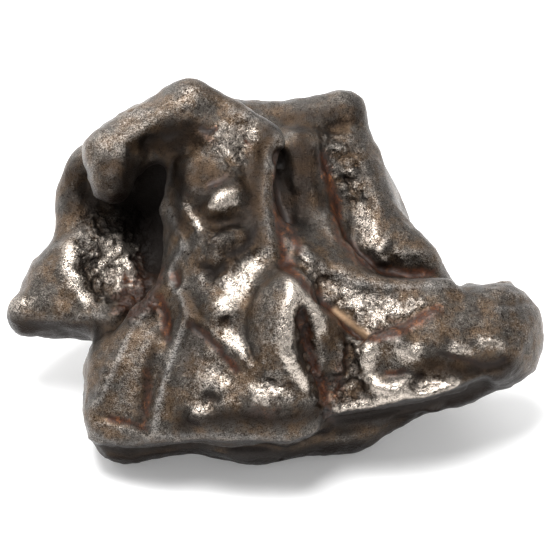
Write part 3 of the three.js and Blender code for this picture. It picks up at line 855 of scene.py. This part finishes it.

# %% [markdown]
# ## Cracks and dust
# Cracks and grooves cut into the skin and are painted black inside as painted shade, and one tan
# splinter of corroded metal is left standing in the seam.

# %% Cracks and dust
crack_areas = areas(
    (1, 0.8, (-5, -17), (2.5, -17.5), (5.6, -16.4), (4, -18), (0, -18.8), (-4.6, -18)),
)
crack_lines = lines(
    (1, 0.45, (16.2, -7.7), (17.6, -8), (18.6, -8.2), (19.6, -8.6), (20.8, -9.1), (22.2, -9),
     (22.9, -8.4)),
    (1, 0.35, (16.9, -6.3), (17.6, -6.9)),
    (1, 0.35, (19.3, -7), (20.2, -6.6)),
    (1, 0.4, (-7.4, 14.7), (-6.6, 14.3), (-5.9, 14.6)),
    (1, 0.45, (-11.4, 14.2), (-10.9, 13.6), (-10, 14.1)),
    (1, 0.4, (-25, -4.9), (-23.4, -5.2), (-22, -5.2), (-21.3, -5.6), (-21.1, -6)),
    (1, 0.5, (-6.9, -11.7), (-6.2, -11.9), (-5.6, -12.3)),
    (1, 0.5, (2.8, -3.7), (2.9, -4.8), (2.6, -6)),
    (1, 0.4, (12.4, -9.6), (13.6, -9.7), (14.4, -10.2)),
    (0.8, 0.4, (20, -3.2), (20.6, -4.2)),
    (1, 0.9, (6.4, -14.5), (9.5, -14), (12.8, -13.3), (17.9, -12), (20.6, -10.9)),
    (1, 0.7, (-17, -17.3), (-14, -17.7), (-11.4, -17.2), (-7, -17), (-4, -17.1)),
    (1, 0.7, (-2.2, 4.4), (-2.5, 3.2), (-3.4, 2.5), (-4.4, 2.1)),
    (1, 0.8, (-6.8, 0.9), (-6, 0.2), (-5.2, 0.7)),
    (0.8, 0.6, (0.3, 12.4), (0.4, 10.4), (0.6, 8.6)),
    (0.7, 0.5, (-8.6, -4.9), (-6.8, -6.2), (-5.2, -8)),
)
# painted shade inside the cracks and grooves
cracks = front * np.maximum(crack_areas, crack_lines)
dusty = front * along(clay, 0.45, (6.0, -3.5), (7.8, -4.9), (9.2, -6.0))
print("cracks:", average(cracks), "dusty:", average(dusty))

# %% [markdown]
# ## Fine relief
# Seen closely, the melted skin is gently wavy, and in the hollows the iron is crumpled. The waves come
# from smooth noise. The crumpling comes from folded noise, which has creases instead of round dents.

# %% Waves and crumpled iron
def wave(scale, seed):
    """Smooth noise over the stone."""
    return noise_of(clay.at, scale, seed)


def folded(scale, seed):
    """Noise with creases: 0 on a crease and up to 1 between creases."""
    return np.abs(wave(scale, seed)) * 2


def share(values, gain, start=0.0, most=1.0):
    """A measure as a share: start where it is 0, rising by gain per unit, from 0 to most."""
    return np.clip(values * gain + start, 0, most)


waves = 0.18 * wave(3.2, seed=1) + 0.09 * wave(1.4, seed=2) + 0.05 * wave(0.8, seed=9)
crumple = 0.35 * folded(1.5, seed=3) + 0.3 * folded(0.8, seed=4) - 0.22
bumpy = share(wave(9, seed=5), gain=1.6, start=0.4) * behind
relief = waves * (1 + 0.6 * behind) + crumple * np.maximum(rough, 0.4 * bumpy) * 0.9
print("waves and crumpling reach", round(float(np.abs(relief).max()), 2), "mm")

# %% [markdown]
# ## Pits
# Here and there gas or a soft grain burned out and left a round pit. Each pit is a dent round one of
# many scattered centres: small ones in groups all over the stone, and larger ones on the back. Then
# every vertex that has sunk to the table is lifted just clear of it.

# %% Pits
FOOT = 0.02  # millimetres above the table


def pits(places, spacing, radius, depth, seed):
    """Round pits around random centres, which are kept apart by about the spacing."""
    shift = np.array([seed * 5.1, seed * 9.2, seed * 3.3])
    sunk = np.zeros(len(places))
    for i, p in enumerate(places / spacing + shift):
        gap = noise.voronoi(Vector(p), distance_metric="DISTANCE", exponent=2.5)[0][0] * spacing
        if gap < radius:
            sunk[i] = -depth * (1 - (gap / radius) ** 2) ** 2
    return sunk


grouped = share(wave(6, seed=6), gain=2.5, start=-0.1)
small = pits(clay.at, spacing=2.2, radius=0.5, depth=0.3, seed=7)
large = pits(clay.at, spacing=5.0, radius=1.2, depth=0.4, seed=8)
relief += small * grouped + large * behind
clay.at = clay.at + clay.normal * relief[:, None]
clay.at[clay.at[:, 2] < FOOT, 2] = FOOT
clay.look()
print("relief from", round(float(relief.min()), 2), "to", round(float(relief.max()), 2), "mm")

# %% [markdown]
# ## Masks from the shape
# A vertex stands on an edge when it lies above the average of its neighbours. Now that the relief is in,
# this is measured twice: closely for single pits, and broadly for thumbprints.

# %% Edges and dips
def height_above(clay, rounds):
    """How far each vertex lies above its blurred surroundings, in millimetres: + on edges."""
    flat = np.array([clay.blurred(axis, rounds) for axis in clay.at.T]).T
    return ((clay.at - flat) * clay.normal).sum(axis=1)


edges_fine = height_above(clay, rounds=4)
edges_broad = height_above(clay, rounds=40)
worn = 0.6 * share(edges_fine, gain=14) + 0.35 * share(edges_broad, gain=3)
dips = 0.4 * share(-edges_fine, gain=12) + 0.6 * share(-edges_broad, gain=3)
print("edges:", average(worn), "dips:", average(dips))

# %% [markdown]
# ## Undersides, the cave and the back
# What faces down gets painted shade, stronger on the front, and so does whatever sees little sky, and
# the cave most of all. The back has no drawn marks, so its bare ridges, its rusty dips and the painted
# shade in its dips come from the broad measure alone.

# %% Undersides, the cave and the back
SKY_WITH_SHADE = 0.5  # where less sky than this is open, painted shade begins
SKY_FADE = 0.3  # and it is whole where this much less is open

# painted shade on what faces down, strongest on the front
below = share(-clay.normal[:, 2], gain=1.6, start=0.15) * (0.35 + 0.65 * front)
# painted shade in the cave
cave = areas(
    (1, 2, (-14.6, 11), (-10.4, 12.4), (-9.6, 9), (-10.4, 2), (-12, 0.6), (-13, 4), (-15.4, 6.6)),
)
here_and_there = share(wave(7, seed=13), gain=2, start=0.7)
back_ridges = behind * share(edges_broad, gain=4, start=-0.1, most=0.75) * here_and_there
back_dips = behind * share(-edges_broad, gain=4, start=-0.1) * (1 - here_and_there * 0.5)
bare_and_highlight_places = np.maximum(bare_and_highlight_places, back_ridges)
rust_places = np.maximum(rust_places, back_dips)
# painted shade in the dips on the back
darker = np.maximum(darker, behind * share(-edges_broad, gain=4, most=0.8))
# painted shade where little sky is open, in the cave and in the cracks
crust = np.clip((SKY_WITH_SHADE - sky) / SKY_FADE + 0.8 * cave, 0, 1) ** 1.3
crust = np.maximum(crust, cracks)
print("crust:", average(crust))

# %% [markdown]
# ## Masks on the mesh
# The masks are stored on the mesh as attributes, one number for each vertex, so they move with it and
# the material can read them by name.

# %% Masks on the mesh
# Painted light and shade are stored here too: the lighter and darker skin, the undersides, the shaded
# hollows and the edge lines.
masks = {
    "dusty": dusty,
    "edge": edge,
    "lighter": lighter,
    "darker": darker,
    "below": below,
    "worn": worn,
    "dips": dips,
    "crust": crust,
    "rust": rust_places,
    "bare": bare_and_highlight_places,
    "rough": rough,
}
for name, values in masks.items():
    layer = stone.data.attributes.new(name, "FLOAT", "POINT")
    layer.data.foreach_set("value", clay.blurred(values, 1).astype(np.float32))
    print("mask", name, "averages", average(values))
for face in stone.data.polygons:
    face.use_smooth = True

# %% [markdown]
# ## Shader sums
# A material is a net of nodes. Written out node by node, it hides what it works out, so a small class
# holds one socket and lets sums be written as sums. Plain numbers use Math nodes, colours use Mix nodes.

# %% Shade
class Shade:
    """A value on its way through a material's nodes."""

    def __init__(self, tree, socket=None):
        self.tree = tree
        self.socket = socket

    def node(self, kind, settings=None, inputs=None, out=0):
        """Adds a node, sets it up, fills or links its sockets and gives back one of its outputs."""
        made = self.tree.nodes.new("ShaderNode" + kind)
        for name, value in (settings or {}).items():
            if name == "stops":
                ramp = made.color_ramp
                while len(ramp.elements) < len(value):
                    ramp.elements.new(0.5)
                for element, (where, colour) in zip(ramp.elements, value):
                    element.position = where
                    element.color = (*colour, 1)
            else:
                setattr(made, name, value)
        for name, value in (inputs or {}).items():
            if isinstance(value, Shade):
                self.tree.links.new(value.socket, made.inputs[name])
            else:
                made.inputs[name].default_value = value
        return Shade(self.tree, made.outputs[out]) if made.outputs else None

    def maths(self, operation, first, second):
        """Adds one Math node. The signs below all come here."""
        return self.node("Math", {"operation": operation}, {0: first, 1: second})

    def __add__(self, other):
        return self.maths("ADD", self, other)

    def __sub__(self, other):
        return self.maths("SUBTRACT", self, other)

    def __mul__(self, other):
        return self.maths("MULTIPLY", self, other)

    def __rsub__(self, other):
        return self.maths("SUBTRACT", other, self)

    __radd__ = __add__
    __rmul__ = __mul__

    def step(self, low, high):
        """0 below low, 1 above high, and smooth between."""
        limits = {"Value": self, "From Min": low, "From Max": high}
        return self.node("MapRange", {"interpolation_type": "SMOOTHSTEP"}, limits)

    def mixed(self, under, over):
        """The colour under, with the colour over laid on where this value is 1."""
        return self.node("Mix", {"data_type": "RGBA"}, {0: self, 6: under, 7: over}, out=2)


print("shader sums ready:", [name for name in vars(Shade) if not name.startswith("__")])

# %% [markdown]
# ## The iron's colours
# One material covers the stone. Its skin is a dark brown-grey patina, warmer in some patches and paler
# where it is worn. Bare metal has a pale warm colour, which also paints the highlights, and a pale grey
# paints the highlights on the edges. Rust is nearly black where it is thick and tan where it is thin.
# A near-black paints the shade and the dark flecks.

# %% Colours and measures
PATINA_DARK = (0.074, 0.066, 0.058, 1)
PATINA_BROWN = (0.108, 0.072, 0.045, 1)
PATINA_WORN = (0.25, 0.225, 0.20, 1)
# the pale grey of the painted highlights on the edges
EDGE_HIGHLIGHT_GREY = (0.18, 0.178, 0.175, 1)
DUSTY_TAN = (0.50, 0.33, 0.20, 1)
# the colour of bare iron, and also of the painted highlights
BARE_IRON_AND_HIGHLIGHT = (0.55, 0.485, 0.42, 1)
RUST_DARK = (0.016, 0.005, 0.003)
RUST_RED = (0.062, 0.018, 0.006)
RUST_TAN = (0.33, 0.12, 0.032)
# near-black for the dark flecks and for the painted shade
FLECK_AND_SHADE_BLACK = (0.012, 0.008, 0.006, 1)

iron = bpy.data.materials.new("meteoric iron")
iron.use_nodes = True
iron.node_tree.nodes.clear()
start = Shade(iron.node_tree)
stone_place = start.node("TexCoord", out="Object")
mm = start.node("VectorMath", {"operation": "SCALE"}, {"Vector": stone_place, "Scale": 1 / MM})


def painted(name):
    """One of the masks on the mesh."""
    return start.node("Attribute", {"attribute_name": name}, out="Fac")


def grain(scale, detail=3.0, roughness=0.6):
    """Noise with features of about 1/scale millimetres."""
    sockets = {"Vector": mm, "Scale": scale, "Detail": detail, "Roughness": roughness}
    return start.node("TexNoise", {}, sockets)


print("material:", iron.name)

# %% [markdown]
# ## Where each finish shows
# A painted mask alone would have a soft, even border. So noise is added to the mask before a step turns
# it into a finish: the border then breaks up into flecks. Wear and dips take part in the same sums, so
# the metal comes through on edges first and rust creeps up from below.

# %% Shares of each finish
cloudy = grain(0.45, 4).step(0.38, 0.66)
specks = grain(2.6, 3)
fine = grain(8.0, 2, 0.7)
ragged = (grain(1.1, 5, 0.75) - 0.5) * 1.5 + (specks - 0.5) * 1.0 + (fine - 0.5) * 1.6

# bare iron, and painted highlights where the planes face the lamp
bare = painted("bare") + painted("lighter") * 0.2 + painted("worn") * 0.3
bare = (bare + ragged - painted("darker") * 0.8 - painted("dips") * 0.5).step(0.3, 1.3)
rust = (painted("rust") * 0.9 + painted("dips") * 0.55 + ragged * 0.6 - bare * 0.2).step(0.35, 1.05)
worn = painted("worn") + painted("lighter") * 0.3 - painted("darker") * 0.5
worn = (worn + (specks - 0.5) * 1.4 + (fine - 0.5) * 3.2).step(0.2, 1.3)
# painted shade in the hollows, thinner on bare iron
crust = painted("crust") * (1 - bare * 0.5)
dusty = painted("dusty")
print("the finish is mixed from", len(iron.node_tree.nodes), "nodes so far")

# %% [markdown]
# ## Colour, layer by layer
# The layers go on one over another: the melted skin, the worn metal and the painted highlights, the rust
# in the seams, and last the dark flecks and the painted shade. Each mask mixes its own colour over what
# lies below.

# %% Colour
rust_colour = start.node(
    "ValToRGB",
    {"stops": [(0.35, RUST_DARK), (0.57, RUST_RED), (0.78, RUST_TAN)]},
    {"Fac": grain(1.1, 5, 0.7)},
)
colour = cloudy.mixed(PATINA_DARK, PATINA_BROWN)
colour = worn.mixed(colour, PATINA_WORN)
# bare iron on the crests, and painted highlights on the planes
colour = bare.mixed(colour, BARE_IRON_AND_HIGHLIGHT)
# painted highlight along the melt edges
colour = (painted("edge") * (specks * 0.9 + 0.1)).mixed(colour, EDGE_HIGHLIGHT_GREY)
colour = rust.mixed(colour, rust_colour)
dark_flecks = (specks * 0.7 + fine * 1.3).step(1.05, 0.75) * (0.85 - bare * 0.45)
colour = dark_flecks.mixed(colour, FLECK_AND_SHADE_BLACK)
# painted shade on what faces down and in the dark bands
shaded_skin = painted("below") * 0.95 + painted("darker") * 0.8 * (1 - bare)
colour = shaded_skin.mixed(colour, FLECK_AND_SHADE_BLACK)
# painted shade in the dips
colour = (painted("dips") * 0.5).mixed(colour, FLECK_AND_SHADE_BLACK)
# painted shade deep in the hollows and in the cracks
colour = crust.mixed(colour, FLECK_AND_SHADE_BLACK)
colour = dusty.mixed(colour, DUSTY_TAN)
print("colour layers done:", len(iron.node_tree.nodes), "nodes")

# %% [markdown]
# ## Shine and grain
# Everything but rust, the painted shade in the hollows and dust is metal. The grain is real relief, but
# far too fine for the mesh, so a Bump node carries it. Its height is in millimetres, and broken iron
# gets larger lumps.

# %% Shine and grain
SKIN_ROUGHNESS = 0.34  # a satin shine, as on rubbed metal
GRAIN_HEIGHT = 0.085  # millimetres
OXIDE_SPECULAR = 0.25  # rust and the painted shade in the hollows shine less than glass

roughness = SKIN_ROUGHNESS + (specks - 0.5) * 0.35 - bare * 0.1 + rust * 0.05 + crust * 0.25
metallic = (1 - rust * 0.85) * (1 - crust * 0.8) * (1 - dusty)
lumps = grain(1.3, 3) * (0.04 + painted("rough") * 0.3 + bare * 0.04)
flecks = specks * 0.04 + fine * (GRAIN_HEIGHT - bare * 0.04) * (1 - rust * 0.6)
fine_bump = start.node("Bump", {}, {"Strength": 1.0, "Distance": MM, "Height": lumps + flecks})
shader = start.node(
    "BsdfPrincipled",
    {},
    {
        "Base Color": colour,
        "Roughness": roughness,
        "Metallic": metallic,
        "Normal": fine_bump,
        "Specular IOR Level": OXIDE_SPECULAR,
    },
)
start.node("OutputMaterial", {}, {"Surface": shader})
stone.data.materials.clear()
stone.data.materials.append(iron)
print("the iron's material has", len(iron.node_tree.nodes), "nodes")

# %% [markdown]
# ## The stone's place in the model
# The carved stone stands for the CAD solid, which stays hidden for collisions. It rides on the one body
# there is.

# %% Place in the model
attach(stone, "root")
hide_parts("meteorite")
print("the stone's mesh has", len(stone.data.polygons), "squares")

# %% [markdown]
# ## Table
# The table is a plain white sheet that glows a little, as a light table does, so that the shadow on it
# stays pale.

# %% Floor
TABLE = 3.0  # metres
GLOW = 0.18  # the table's own light, which lifts the shadow on it

bpy.ops.mesh.primitive_grid_add(x_subdivisions=2, y_subdivisions=2, size=TABLE)
table = bpy.context.object
table.name = "table_top"
white = bpy.data.materials.new("white table top")
white.use_nodes = True
paper = white.node_tree.nodes["Principled BSDF"].inputs
paper["Base Color"].default_value = (0.9, 0.9, 0.9, 1)
paper["Roughness"].default_value = 0.9
paper["Emission Color"].default_value = (1, 1, 1, 1)
paper["Emission Strength"].default_value = GLOW
table.data.materials.append(white)
print("the table is", TABLE, "m wide")

# %% [markdown]
# ## Lamps
# Metal looks like what it mirrors, so its lamps are large and soft. One lamp overhead makes the bright
# planes flash, and a second one behind lights the crest.

# %% Lamps
def soft_lamp(name, place, size, watts, aim=(0, 0, 0.015)):
    """A square lamp that shines from a place towards the stone."""
    lamp = bpy.data.lights.new(name, "AREA")
    lamp.size = size
    lamp.energy = watts
    made = bpy.data.objects.new(name, lamp)
    made.location = place
    made.rotation_euler = (Vector(aim) - Vector(place)).to_track_quat("-Z", "Y").to_euler()
    bpy.context.scene.collection.objects.link(made)
    print(name, "is", round((Vector(aim) - Vector(place)).length, 2), "m away")


soft_lamp("key lamp", place=(-0.05, -0.04, 0.36), size=0.17, watts=1.9)
soft_lamp("back lamp", place=(-0.16, 0.3, 0.2), size=0.22, watts=0.8)

# %% [markdown]
# ## Room
# A white room all round gives the metal a soft sheen. It is dimmer on the side that faces the carving,
# which keeps the iron dark there. The dimness depends only on the direction in the room, so it stays in
# place when the stone is seen from elsewhere.

# %% Room
DIMMED = 0.62  # the share of the room's light that is missing in front of the carving

room = bpy.data.worlds.new("white room")
room.use_nodes = True
backdrop = room.node_tree.nodes["Background"]
sky_way = Shade(room.node_tree).node("TexCoord", out="Generated")
dot = {"operation": "DOT_PRODUCT"}
toward_front = sky_way.node("VectorMath", dot, {0: sky_way, 1: tuple(OUT)}, out=1)
strength = 1.0 - toward_front.step(0.3, 0.95) * DIMMED
room.node_tree.links.new(strength.socket, backdrop.inputs["Strength"])
backdrop.inputs["Color"].default_value = (1, 1, 1, 1)
bpy.context.scene.world = room
bpy.context.scene.view_settings.view_transform = "Standard"
print("the room's light is made of", len(room.node_tree.nodes), "nodes")

# %% [markdown]
